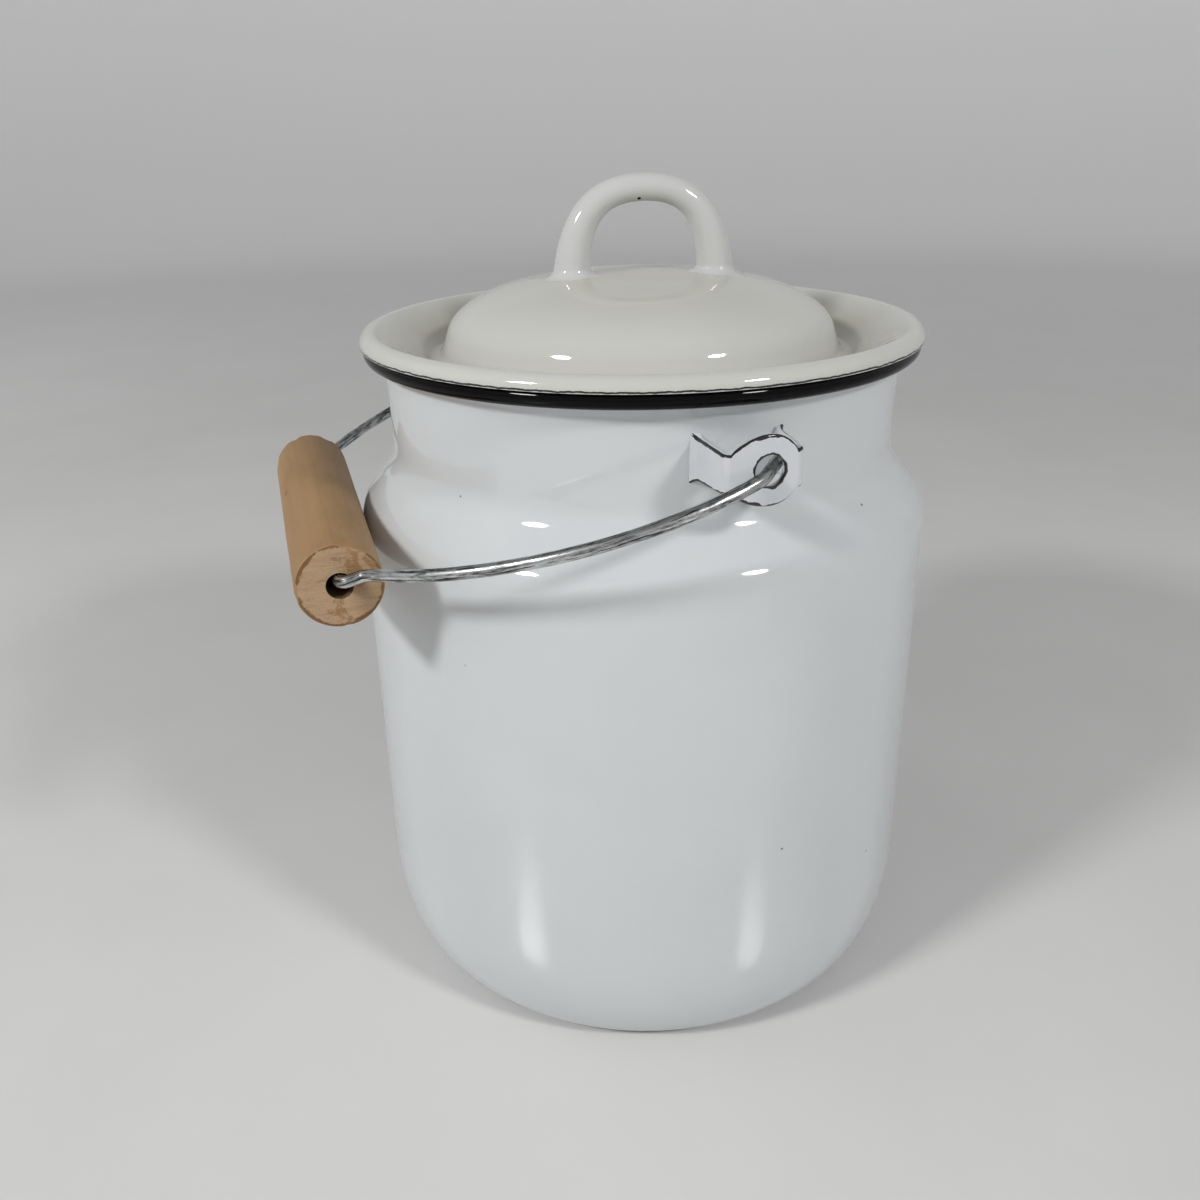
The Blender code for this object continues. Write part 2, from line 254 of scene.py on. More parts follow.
def sums(tree, operation, one, two=0.0):
    return addNode(tree, "ShaderNodeMath", {0: one, 1: two}, operation=operation).outputs["Value"]


def axesOf(tree, where):
    return addNode(tree, "ShaderNodeSeparateXYZ", {"Vector": where}).outputs


def lengthOf(tree, one, two):
    squared = sums(tree, "ADD", sums(tree, "MULTIPLY", one, one), sums(tree, "MULTIPLY", two, two))
    return sums(tree, "SQRT", squared)


def unevenOf(tree, grain, amount):
    return sums(tree, "MULTIPLY", sums(tree, "SUBTRACT", grain, 0.5), amount)


def specksOf(tree, where, scale, far, near, share):
    # a dot in the middle of the few cells whose own number is above share
    cells = addNode(tree, "ShaderNodeTexVoronoi", {"Vector": where, "Scale": scale})
    chosen = addNode(tree, "ShaderNodeSeparateColor", {"Color": cells.outputs["Color"]})
    lucky = sums(tree, "GREATER_THAN", chosen.outputs["Red"], share)
    return sums(tree, "MULTIPLY", lucky, remap(tree, cells.outputs["Distance"], far, near))


def mixColour(tree, share, one, two, way="MIX"):
    mix = addNode(tree, "ShaderNodeMix", data_type="RGBA", blend_type=way)
    for socket, value in ((mix.inputs[0], share), (mix.inputs[6], one), (mix.inputs[7], two)):
        if isinstance(value, bpy.types.NodeSocket):
            tree.links.new(value, socket)
        else:
            socket.default_value = value if isinstance(value, float) else (*value[:3], 1.0)
    return mix.outputs[2]


def bumpOf(tree, height, strength, distance, before=None):
    values = {"Height": height, "Strength": strength, "Distance": distance}
    if before is not None:
        values["Normal"] = before
    return addNode(tree, "ShaderNodeBump", values).outputs["Normal"]


# enamel: can, ears, lid and loop share one way of making
enamelLook = {
    "black": (0.0018, 0.0018, 0.0024),
    "gloss": (0.035, 0.075),
    "speck": (0.05, 0.045, 0.04),
    "specks": ((95.0, 0.085, 0.955), (240.0, 0.10, 0.975)),  # scale, size, how rare
    "ior": 1.58,
}


def enamelColour(tree, where, tone, shade, rare=0.0):
    # cloudy white, then pinholes and specks
    clouds = remap(tree, noiseOf(tree, where, 26.0, 4.0), 0.32, 0.70)
    colour = mixColour(tree, clouds, shade, tone)
    for scale, spread, share in enamelLook["specks"]:
        specks = specksOf(tree, where, scale, spread, spread * 0.45, share + (1 - share) * rare)
        colour = mixColour(tree, specks, colour, enamelLook["speck"])
    return colour


def enamelSurface(tree, shader, where, waves=0.04, gloss=enamelLook["gloss"]):
    patches = noiseOf(tree, where, 60.0, 3.0)
    tree.links.new(remap(tree, patches, 0.3, 0.7, *gloss), shader.inputs["Roughness"])
    slow = bumpOf(tree, noiseOf(tree, where, 42.0, 1.0), waves, 0.0006)
    fine = bumpOf(tree, noiseOf(tree, where, 420.0, 2.0), 0.04, 0.0001, slow)
    tree.links.new(fine, shader.inputs["Normal"])
    shader.inputs["IOR"].default_value = enamelLook["ior"]


# can
canSet = {
    "bodyRadius": 0.0800, "wall": 0.0012,
    "cornerWidth": 0.0150, "cornerHeight": 0.0340, "cornerFullness": 2.3,
    "shoulderZ": 0.1472, "shoulderSlope": 39.0, "shoulderRound": 0.0120,
    "neckRadius": 0.0693, "neckFlare": 0.0007, "beadFlare": 0.0021,
    "beadZ": 0.1829, "beadRadius": 0.0731, "beadSection": 0.0022,
    "steps": 224,
    "blackFrom": 0.1806, "blackRagged": 0.0006, "blackSoft": 0.00012,
    "shine": 0.5, "beadShine": 0.10, "beadGloss": (0.020, 0.040),
    "tone": (0.620, 0.645, 0.655), "shade": (0.597, 0.620, 0.630),
}


def canOutside(s):
    points = [Vector((0.0, 0.0)), Vector((0.03, 0.0))]
    for i in range(24):
        angle = math.radians(90 * i / 24)
        out = 1 - math.sin(angle) ** (2 / s["cornerFullness"])
        up = 1 - math.cos(angle) ** (2 / s["cornerFullness"])
        points.append(Vector((s["bodyRadius"] - s["cornerWidth"] * out, s["cornerHeight"] * up)))
    halfRise = (s["bodyRadius"] - s["neckRadius"]) / 2 / math.tan(math.radians(s["shoulderSlope"]))
    neckEnd = s["beadZ"] - math.sqrt(s["beadSection"] ** 2 - (s["beadSection"] - s["wall"]) ** 2)
    points += roundedPath([
        (s["bodyRadius"], s["cornerHeight"], 0.0),
        (s["bodyRadius"], s["shoulderZ"] - halfRise, s["shoulderRound"]),
        (s["neckRadius"], s["shoulderZ"] + halfRise, s["shoulderRound"]),
        (s["neckRadius"], neckEnd, 0.0),
    ])[:-1]
    start = points[-1].y
    for i in range(1, 25):
        share = i / 24
        flare = s["neckFlare"] * share**1.5 + s["beadFlare"] * share**14
        points.append(Vector((s["neckRadius"] + flare, start + (neckEnd - start) * share)))
    return points


def makeCanFinish(s, name, shine, gloss):
    finish, tree, shader = newFinish(name)
    shader.inputs["Specular IOR Level"].default_value = shine
    where = objectSpace(tree)
    colour = enamelColour(tree, where, s["tone"], s["shade"])
    z = axesOf(tree, where)["Z"]
    ragged = unevenOf(tree, noiseOf(tree, where, 150.0, 5.0, 0.65), s["blackRagged"] * 2)
    level = sums(tree, "ADD", z, ragged)
    black = remap(tree, level, s["blackFrom"] - s["blackSoft"], s["blackFrom"] + s["blackSoft"])
    colour = mixColour(tree, black, colour, enamelLook["black"])
    tree.links.new(colour, shader.inputs["Base Color"])
    enamelSurface(tree, shader, where, gloss=gloss)
    return finish


def makeCan(s):
    outside = canOutside(s)
    inside = offsetPath(outside, -s["wall"])
    inside[0] = Vector((0.0, s["wall"]))
    meets = math.degrees(math.acos((s["beadSection"] - s["wall"]) / s["beadSection"])) - 180
    bead = arcPoints((s["beadRadius"], s["beadZ"]), s["beadSection"], 180, meets, 9.0)
    profile = inside[:-1] + bead + outside[-2::-1]
    mesh = spinProfile("can", [tuple(p) for p in profile], s["steps"])
    for face in mesh.polygons:
        if face.center.z > s["blackFrom"] - 0.0008:
            face.material_index = 1
    finishes = [
        makeCanFinish(s, "canEnamel", s["shine"], enamelLook["gloss"]),
        makeCanFinish(s, "beadEnamel", s["beadShine"], s["beadGloss"]),
    ]
    addPiece("can", mesh, finishes, "can", "can_body")


makeCan(canSet)
print("can made")


# ears
earSet = {
    "z": 0.1685, "plateX": 0.0840, "sheet": 0.0015, "halfWidth": 0.0095, "footSpread": 0.0011,
    "footHalf": 0.0051, "foldHalf": 0.0044, "eyeHalf": 0.0081, "foldRound": 0.0018,
    "holeRadius": 0.0036, "eyeShift": 0.0014, "neck": 0.0691, "edge": 0.00045,
    "footFlare": 0.0009, "flareRun": 0.0030, "lineWidth": 0.00055, "drillDepth": 0.009,
    "tone": (0.655, 0.668, 0.685), "shade": (0.570, 0.592, 0.625), "worn": (0.018, 0.016, 0.015),
}


def makeEarFinish(s):
    finish, tree, shader = newFinish("earEnamel")
    where = objectSpace(tree)
    colour = enamelColour(tree, where, s["tone"], s["shade"])
    # worn, dark cut edges
    edge = addNode(tree, "ShaderNodeAttribute", attribute_name="edge").outputs["Fac"]
    chips = noiseOf(tree, where, 290.0, 3.0)
    worn = sums(tree, "ADD", edge, unevenOf(tree, chips, 2.1))
    black = remap(tree, worn, 0.42, 0.50)
    black = sums(tree, "MULTIPLY", black, sums(tree, "GREATER_THAN", edge, 0.02))
    # dark ring round the hole
    axes = axesOf(tree, where)
    dy = sums(tree, "SUBTRACT", axes["Y"], s["eyeShift"])
    reach = lengthOf(tree, dy, sums(tree, "SUBTRACT", axes["Z"], s["z"]))
    ringNoise = unevenOf(tree, chips, 0.0019)
    reach = sums(tree, "ADD", reach, ringNoise)
    ring = remap(tree, reach, s["holeRadius"] + 0.00050, s["holeRadius"] + 0.00036)
    depth = sums(tree, "ADD", sums(tree, "ABSOLUTE", axes["X"]), ringNoise)
    ring = sums(tree, "MULTIPLY", ring, remap(tree, depth, s["plateX"] - 0.00075, s["plateX"] - 0.00055))
    colour = mixColour(tree, sums(tree, "MAXIMUM", black, ring), colour, s["worn"])
    tree.links.new(colour, shader.inputs["Base Color"])
    enamelSurface(tree, shader, where, 0.25)
    return finish


def roundedSection(out, back, half, rounding, lineWidth):
    # corners of the strip, each with a small round; marks give 1 on the cut edge
    across = (out - back).normalized()
    points, marks = [], []
    thick = (out - back).length
    for cornerAcross, cornerUp, startDeg in ((1, 1, 0), (0, 1, 90), (0, 0, 180), (1, 0, 270)):
        centreA = rounding + (thick - 2 * rounding) * cornerAcross
        centreU = (half - rounding) * (1 if cornerUp else -1)
        for k in range(-1, 6):
            angle = math.radians(startDeg + 90 * max(0, min(4, k)) / 4)
            a = centreA + rounding * math.cos(angle)
            u = centreU + rounding * math.sin(angle)
            # a point before and after each round ends the dark line on the flats
            if k in (-1, 5):
                turned = angle - math.pi / 2 if k == -1 else angle + math.pi / 2
                far = lineWidth if abs(math.cos(angle)) > 0.5 else (thick - 2 * rounding) * 0.35
                a += far * math.cos(turned)
                u += far * math.sin(turned)
            points.append((back + across * a, u))
            mark = (0.0, 0.62, 0.9, 1.0, 0.9, 0.62, 0.0)[k + 1]
            marks.append(mark * (1.0 if cornerUp else 0.80) if cornerAcross else 0.0)
    return points, marks


def makeEar(name, side, node, finishes, s):
    footY = s["halfWidth"] + s["footSpread"]
    footX = math.sqrt(s["neck"] ** 2 - (footY - s["sheet"]) ** 2)
    bends = roundedPath([
        (footY, footX, 0.0),
        (s["halfWidth"], s["plateX"], s["foldRound"]),
        (-s["halfWidth"], s["plateX"], s["foldRound"]),
        (-footY, footX, 0.0),
    ], 10.0)
    middle = len(bends) // 2
    flat = bends[middle - 1].x
    plate = [Vector((flat * (1 - i / 30), s["plateX"])) for i in range(1, 60)]
    legs = evenPath(bends[:2], 0.0004)[:-1]
    otherLegs = [Vector((-p.x, p.y)) for p in reversed(legs)]
    outside = legs + bends[1:middle] + plate + bends[middle:-1] + otherLegs
    inside = offsetPath(outside, -s["sheet"])
    rise = s["eyeHalf"] - s["foldHalf"]
    eyeY = side * s["eyeShift"]
    rings, marks = [], None
    for out, back in zip(outside, inside):
        if abs(out.x) < flat:
            fromEye = abs(out.x - eyeY)
            width = flat - eyeY if out.x > eyeY else flat + eyeY
            eyeRound = (width**2 + rise**2) / (2 * rise)
            half = s["eyeHalf"] - eyeRound + math.sqrt(eyeRound**2 - fromEye**2)
        else:
            downLeg = (s["plateX"] - out.y) / (s["plateX"] - footX)
            half = s["foldHalf"] + (s["footHalf"] - s["foldHalf"]) * downLeg
        toFoot = max(0.0, 1 - (out.y - footX) / s["flareRun"])
        swell = s["footFlare"] * toFoot**2.2
        across = (out - back).normalized()
        out, back = out + across * swell, back - across * swell * 0.6
        section, marks = roundedSection(out, back, half + swell, s["edge"], s["lineWidth"])
        rings.append([(p.y, p.x, s["z"] + u) for p, u in section])
    if side < 0:
        rings = [[(-x, -y, z) for x, y, z in ring] for ring in rings]
    mesh = skinRings(name, rings, marks)
    piece = addPiece(name, mesh, finishes, "can", node)
    eye = Matrix.Translation((side * s["plateX"], s["eyeShift"], s["z"]))
    drillHole(piece, eye @ Matrix.Rotation(math.pi / 2, 4, "Y"), s["holeRadius"], s["drillDepth"], finishes[0])


earFinishes = [makeEarFinish(earSet)]
makeEar("earNear", 1, "ear_right", earFinishes, earSet)
makeEar("earFar", -1, "ear_left", earFinishes, earSet)
print("ears made")


# lid
lidSet = {
    "sheet": 0.0010, "radius": 0.0760, "rimRound": 0.0031, "rimEndDeg": -10.0, "funnelDeg": 30.0,
    "beadRadius": 0.0714, "beadZ": 0.1835, "beadSection": 0.0026, "gap": 0.0003,  # the solid's bead
    "troughRadius": 0.0553, "troughRound": 0.0026,
    "domeRadius": 0.0548, "domeHeight": 0.0188, "domeFullness": 2.84, "apexZ": 0.2005,
    "cornerFromDeg": 58.0, "cornerRound": 0.0105, "cornerSlopeDeg": 72.0,
    "steps": 224,
    "edgeZ": 0.18475, "edgeBlack": (0.00016, 0.00060), "edgeRagged": 0.0007, "edgeSoft": 0.00006,
    "tone": (0.572, 0.571, 0.535), "shade": (0.548, 0.547, 0.511), "cream": (0.91, 0.89, 0.83),
    # trough tint: some dust, mostly painted shade where the dome and rim shade the trough
    "troughDustAndShade": (0.62, 0.585, 0.49),
}


def domeHeight(s, across):
    drop = 1 - math.sqrt(max(0.0, 1 - (across / s["domeRadius"]) ** s["domeFullness"]))
    return s["apexZ"] - s["domeHeight"] * drop


def lidTop(s):
    funnel = math.radians(s["funnelDeg"])
    up = Vector((-math.sin(funnel), math.cos(funnel)))
    out = Vector((math.cos(funnel), math.sin(funnel)))
    rimR = s["radius"] - s["rimRound"]
    lift = s["beadSection"] + s["gap"] + s["sheet"] - s["rimRound"]
    level = Vector((s["beadRadius"], s["beadZ"])) + up * lift
    rim = level + out * (rimR - level.x) / out.x
    rimEnd = rim + up * s["rimRound"]
    troughZ = rimEnd.y - (rimEnd.x - s["troughRadius"]) * math.tan(funnel)
    path = [Vector((0.004 * i, domeHeight(s, 0.004 * i))) for i in range(3)]
    for i in range(4, 41):
        angle = math.radians(s["cornerFromDeg"] * i / 40)
        across = s["domeRadius"] * math.sin(angle) ** (2 / s["domeFullness"])
        path.append(Vector((across, s["apexZ"] - s["domeHeight"] * (1 - math.cos(angle)))))
    # the dome turns down in a round at its foot
    fall = path[-1] - path[-2]
    facing = math.atan2(fall.x, -fall.y)
    middle = path[-1] - Vector((math.cos(facing), math.sin(facing))) * s["cornerRound"]
    path += arcPoints(middle, s["cornerRound"], math.degrees(facing), 90 - s["cornerSlopeDeg"], 2.0)[1:]
    path += roundedPath([
        (path[-1].x, path[-1].y, 0.0),
        (s["troughRadius"], troughZ, s["troughRound"]),
        (rimEnd.x, rimEnd.y, 0.0),
    ])[1:-1]
    return path + arcPoints(rim, s["rimRound"], 90 + s["funnelDeg"], s["rimEndDeg"], 5.0)


def makeLidFinish(s):
    finish, tree, shader = newFinish("lidEnamel")
    where = objectSpace(tree)
    colour = enamelColour(tree, where, s["tone"], s["shade"], 0.93)
    axes = axesOf(tree, where)
    # a thin dark line just above the cut edge
    ragged = unevenOf(tree, noiseOf(tree, where, 430.0, 4.0), s["edgeRagged"])
    level = sums(tree, "SUBTRACT", sums(tree, "ADD", axes["Z"], ragged), s["edgeZ"])
    (lowEnd, highEnd), soft = s["edgeBlack"], s["edgeSoft"]
    line = remap(tree, level, lowEnd - soft, lowEnd + soft)
    line = sums(tree, "MULTIPLY", line, remap(tree, level, highEnd + soft, highEnd - soft))
    # darker and creamier towards the middle of the dome; in the trough a darker tint, partly dust and partly
    # painted shade from the dome and rim
    across = lengthOf(tree, axes["X"], axes["Y"])
    cream = mixColour(tree, 1.0, colour, s["cream"], "MULTIPLY")
    colour = mixColour(tree, remap(tree, across, 0.016, 0.050), cream, colour)
    # painted shade: the trough ring is darkened as if shaded by the dome and rim, with some dust
    inTrough = remap(tree, across, 0.0535, 0.0572)
    inTrough = sums(tree, "MULTIPLY", inTrough, remap(tree, across, 0.0725, 0.0610))
    patches = remap(tree, noiseOf(tree, where, 30.0, 4.0), 0.25, 0.65, 0.75, 1.0)
    troughDustAndShadeShare = sums(tree, "MULTIPLY", inTrough, patches)
    colour = mixColour(tree, troughDustAndShadeShare, colour, mixColour(tree, 1.0, colour, s["troughDustAndShade"], "MULTIPLY"))
    outer = sums(tree, "GREATER_THAN", across, s["radius"] - s["sheet"] * 1.6)
    colour = mixColour(tree, sums(tree, "MULTIPLY", line, outer), colour, enamelLook["black"])
    tree.links.new(colour, shader.inputs["Base Color"])
    enamelSurface(tree, shader, where)
    return finish


def makeLid(s):
    top = lidTop(s)
    under = offsetPath(top, s["sheet"])
    under[0] = Vector((0.0, top[0].y - s["sheet"]))
    profile = top + under[::-1]
    mesh = spinProfile("lid", [tuple(p) for p in profile], s["steps"])
    addPiece("lid", mesh, [makeLidFinish(s)], "lid", "lid_shell")


makeLid(lidSet)
print("lid made")


# loop on the lid
loopSet = {
    "turnDeg": -9.65, "offset": 0.0012, "halfSpan": 0.0196, "height": 0.0221, "lean": 0.0011,
    "hip": 0.0143, "shoulder": 0.0135, "topRadius": 0.00355, "footRadius": 0.0051,
    "fillet": 0.0022, "followRun": 0.006, "sides": 48,
    "ventRadius": 0.0005, "ventDepth": 0.004, "ventShift": 0.0012, "ventFacing": (0.62, -0.2, -0.76),
    "ventDark": (0.014, 0.013, 0.012), "ventRust": (0.07, 0.055, 0.045),
    "tone": (0.570, 0.575, 0.560), "shade": (0.546, 0.551, 0.536),
}


def makeLoopFinish(s):
    finish, tree, shader = newFinish("loopEnamel")
    where = objectSpace(tree)
    tree.links.new(enamelColour(tree, where, s["tone"], s["shade"]), shader.inputs["Base Color"])
    enamelSurface(tree, shader, where, 0.15)
    return finish


def makeVentFinish(s):
    finish, tree, shader = newFinish("darkEdge")
    where = objectSpace(tree)
    rust = remap(tree, noiseOf(tree, where, 700.0, 3.0), 0.35, 0.7)
    tree.links.new(mixColour(tree, rust, s["ventDark"], s["ventRust"]), shader.inputs["Base Color"])
    tree.links.new(remap(tree, rust, 0.0, 1.0, 0.25, 0.55), shader.inputs["Roughness"])
    return finish


def makeLoop(s, lid):
    foot = domeHeight(lid, s["halfSpan"])
    top = foot + s["height"]
    half = bezierPoints((
        (s["halfSpan"], foot),
        (s["halfSpan"] - s["lean"], foot + s["hip"]),
        (s["shoulder"], top),
        (0.0, top),
    ), 60)
    half = evenPath(half[:8], 0.0001) + half[8:]
    path = half + [Vector((-p.x, p.y)) for p in half[-2::-1]]
    rings = []
    for i, point in enumerate(path):
        down = max(0.0, (top - point.y) / s["height"])
        radius = s["topRadius"] + (s["footRadius"] - s["topRadius"]) * down**1.2
        # enamel runs into the corner in a round
        above = max(0.0, min(s["fillet"], point.y - foot))
        radius += s["fillet"] - math.sqrt(max(0.0, s["fillet"] ** 2 - (s["fillet"] - above) ** 2))
        along = (path[min(i + 1, len(path) - 1)] - path[max(i - 1, 0)]).normalized()
        side = Vector((along.y, 0.0, -along.x))
        follow = max(0.0, 1 - (point.y - foot) / s["followRun"])  # near the foot the rings follow the dome
        ring = []
        for k in range(s["sides"]):
            angle = 2 * math.pi * k / s["sides"]
            spot = Vector((point.x + s["offset"], 0.0, point.y))
            spot += (side * math.cos(angle) + Vector((0.0, math.sin(angle), 0.0))) * radius
            level = domeHeight(lid, math.hypot(spot.x, spot.y)) + point.y - foot
            spot.z += (level - spot.z) * follow
            ring.append(spot)
        rings.append(ring)
    turn = Matrix.Rotation(math.radians(90 + s["turnDeg"]), 4, "Z")
    rings = [[turn @ spot for spot in ring] for ring in rings]
    finishes = [makeLoopFinish(s), makeVentFinish(s)]
    mesh = skinRings("lidLoop", rings)
    piece = addPiece("lidLoop", mesh, finishes, "lid", "lid_handle")
    # small blind vent under the top of the loop
    spot = turn @ Vector((s["offset"] - s["ventShift"], 0.0, top))
    facing = Vector(s["ventFacing"]).normalized()
    turned = facing.to_track_quat("Z", "Y").to_matrix().to_4x4()
    place = Matrix.Translation(spot + facing * s["topRadius"]) @ turned
    drillHole(piece, place, s["ventRadius"], s["ventDepth"], finishes[1], 24)


makeLoop(loopSet, lidSet)
print("loop made")


# bail wire
bailSet = {
    "radius": 0.0015, "bend": 0.0025, "hookTan": 1.0, "hookInside": 0.0043, "hookTip": 0.0016,
    "root": 0.0028, "rootBend": 0.0080, "bow": 0.0104, "bowDepth": 0.0385,
    "knee": 0.0098, "kneeRise": 0.0245, "reach": 0.0953, "kinkWidth": 0.0025, "kinkRise": 0.0080,
    "endPlay": 0.0010, "gripLength": 0.1000, "pivot": (0.0, 0.0014, 0.16807), "sag": 0.00145, "sides": 24,
    "bright": (0.66, 0.68, 0.67), "dull": (0.10, 0.107, 0.106), "scored": (0.014, 0.014, 0.015),
}


def makeWireFinish(s):
    finish, tree, shader = newFinish("galvanisedWire")
    uv = addNode(tree, "ShaderNodeTexCoord").outputs["UV"]
    streaks = noiseOf(tree, stretched(tree, uv, (85.0, 6.0, 1.0)), 1.0, 5.0, 0.66, 0.3)
    spots = noiseOf(tree, stretched(tree, uv, (300.0, 9.0, 1.0)), 1.0, 4.0, 0.65)
    blend = sums(tree, "ADD", sums(tree, "MULTIPLY", streaks, 0.55), sums(tree, "MULTIPLY", spots, 0.45))
    share = remap(tree, blend, 0.41, 0.56)
    lines = noiseOf(tree, stretched(tree, uv, (75.0, 13.0, 1.0)), 1.0, 4.0, 0.62, 0.3)
    scored = remap(tree, lines, 0.555, 0.61, 0.0, 0.9)
    colour = mixColour(tree, share, s["dull"], s["bright"])
    tree.links.new(mixColour(tree, scored, colour, s["scored"]), shader.inputs["Base Color"])
    tree.links.new(remap(tree, share, 0.0, 1.0, 0.48, 0.23), shader.inputs["Roughness"])
    shader.inputs["Metallic"].default_value = 1.0
    coarse = bumpOf(tree, blend, 0.35, 0.0003)
    tree.links.new(bumpOf(tree, lines, -0.4, 0.0003, coarse), shader.inputs["Normal"])
    return finish


def wireHalf(s, ear):
    plate = ear["plateX"] - ear["sheet"] / 2
    inside = plate - s["hookInside"]
    root = (plate + s["root"], s["root"] * s["hookTan"])
    kink = s["gripLength"] / 2 + s["endPlay"] + s["radius"]
    arm = bezierPoints((
        root,
        (root[0] + s["bow"], s["bowDepth"]),
        (root[0] - s["knee"], s["reach"] - s["kneeRise"]),
        (kink + s["kinkWidth"], s["reach"] - s["kinkRise"]),
    ), 64)
    return roundedPath([
        (inside, -s["hookInside"] * s["hookTan"] - s["hookTip"], 0.0),
        (inside, -s["hookInside"] * s["hookTan"], s["bend"]),
        (*root, s["rootBend"]),
        *[(p.x, p.y, 0.0) for p in arm[4:]],
        (kink + s["radius"] / 3, s["reach"] - s["kinkRise"] + s["kinkWidth"], s["bend"]),
        (kink, s["reach"], s["bend"]),
        (0.0, s["reach"], 0.0),
    ], 7.0)


def makeBail(s, ear, gripMiddle):
    half = evenPath(wireHalf(s, ear), 0.002)
    path = half + [Vector((-p.x, p.y)) for p in half[-2::-1]]
    pivot = Vector(s["pivot"])
    fall = math.asin((pivot.z - gripMiddle.z - s["sag"]) / s["reach"])
    place = Matrix.Translation(pivot) @ Matrix.Rotation(math.pi / 2 + fall, 4, "X")
    rings = []
    last = len(path) - 1
    for i, point in enumerate(path):
        along = (path[min(i + 1, last)] - path[max(i - 1, 0)]).normalized()
        side = Vector((along.y, 0.0, -along.x))
        ring = []
        for k in range(s["sides"]):
            angle = 2 * math.pi * k / s["sides"]
            offset = side * math.cos(angle) + Vector((0.0, math.sin(angle), 0.0))
            ring.append(place @ (Vector((point.x, 0.0, point.y)) + offset * s["radius"]))
        rings.append(ring)
    mesh = skinRings("bail", rings)
    addPiece("bail", mesh, [makeWireFinish(s)], "bail", "bail_wire")


gripLow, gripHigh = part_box("bail_grip")
gripMiddle = (gripLow + gripHigh) / 2
makeBail(bailSet, earSet, gripMiddle)
print("bail made")


# wooden grip
gripSet = {
    "length": 0.1000, "radius": 0.0105, "bore": 0.00325, "edge": 0.0006, "endRing": 0.00675, "steps": 96,
    "light": (0.362, 0.216, 0.092), "mid": (0.305, 0.176, 0.072), "dark": (0.17, 0.092, 0.038),
    "endLight": (0.425, 0.290, 0.173), "endMid": (0.375, 0.243, 0.136), "endDark": (0.275, 0.147, 0.055),
    "rimDark": (0.18, 0.090, 0.030), "boreDirt": (0.10, 0.06, 0.035),
}


def makeWoodFinish(s):
    finish, tree, shader = newFinish("beechSide")
    where = objectSpace(tree)
    grain = noiseOf(tree, stretched(tree, where, (14.0, 330.0, 330.0)), 1.0, 6.0, 0.6, 0.4)
    pores = noiseOf(tree, stretched(tree, where, (120.0, 1500.0, 1500.0)), 1.0, 2.0, 0.5)
    stains = noiseOf(tree, stretched(tree, where, (22.0, 60.0, 60.0)), 1.0, 5.0, 0.62)
    colour = mixColour(tree, remap(tree, grain, 0.28, 0.74), s["mid"], s["light"])
    colour = mixColour(tree, remap(tree, pores, 0.62, 0.76, 0.0, 0.22), colour, s["dark"])
    colour = mixColour(tree, remap(tree, stains, 0.50, 0.78, 0.0, 0.55), colour, s["dark"])
    # a few dark nicks from use
    nicks = specksOf(tree, stretched(tree, where, (120.0, 260.0, 260.0)), 1.0, 0.26, 0.14, 0.955)
    colour = mixColour(tree, sums(tree, "MULTIPLY", nicks, 0.75), colour, s["dark"])
    tree.links.new(colour, shader.inputs["Base Color"])
    tree.links.new(remap(tree, stains, 0.3, 0.75, 0.50, 0.72), shader.inputs["Roughness"])
    relief = sums(tree, "SUBTRACT", grain, sums(tree, "MULTIPLY", pores, 0.7))
    relief = sums(tree, "SUBTRACT", relief, nicks)
    tree.links.new(bumpOf(tree, relief, 0.35, 0.0004), shader.inputs["Normal"])
    return finish


def makeEndFinish(s, middle):
    finish, tree, shader = newFinish("beechEnd")
    where = objectSpace(tree)
    saw = noiseOf(tree, stretched(tree, where, (10.0, 160.0, 1300.0), (0.5, 0.0, 0.0)), 1.0, 3.0)
    pores = noiseOf(tree, where, 1700.0, 2.0)
    stains = noiseOf(tree, stretched(tree, where, (30.0, 140.0, 140.0)), 1.0, 6.0, 0.66, 0.4)
    colour = mixColour(tree, remap(tree, saw, 0.36, 0.68), s["endLight"], s["endMid"])
    colour = mixColour(tree, remap(tree, pores, 0.56, 0.70, 0.0, 0.5), colour, s["endDark"])
    colour = mixColour(tree, remap(tree, stains, 0.555, 0.61, 0.0, 0.85), colour, s["endDark"])
    # what is left of the old finish: a broken brown border
    axes = axesOf(tree, where)
    dy = sums(tree, "SUBTRACT", axes["Y"], middle.y)
    across = lengthOf(tree, dy, sums(tree, "SUBTRACT", axes["Z"], middle.z))
    across = sums(tree, "ADD", across, unevenOf(tree, noiseOf(tree, where, 260.0, 4.0, 0.6), 0.0034))
    border = remap(tree, across, s["radius"] - 0.0011, s["radius"] - 0.0008)
    colour = mixColour(tree, border, colour, s["rimDark"])
    tree.links.new(colour, shader.inputs["Base Color"])
    tree.links.new(remap(tree, saw, 0.3, 0.7, 0.65, 0.85), shader.inputs["Roughness"])
    tree.links.new(bumpOf(tree, saw, 0.5, 0.0005), shader.inputs["Normal"])
    return finish


def makeBoreFinish(s):
    finish, tree, shader = newFinish("beechBore")
    where = objectSpace(tree)
    dirt = noiseOf(tree, where, 600.0, 4.0)
    colour = mixColour(tree, remap(tree, dirt, 0.35, 0.7), s["boreDirt"], s["dark"])
    tree.links.new(colour, shader.inputs["Base Color"])
    tree.links.new(remap(tree, dirt, 0.3, 0.7, 0.7, 0.9), shader.inputs["Roughness"])
    return finish


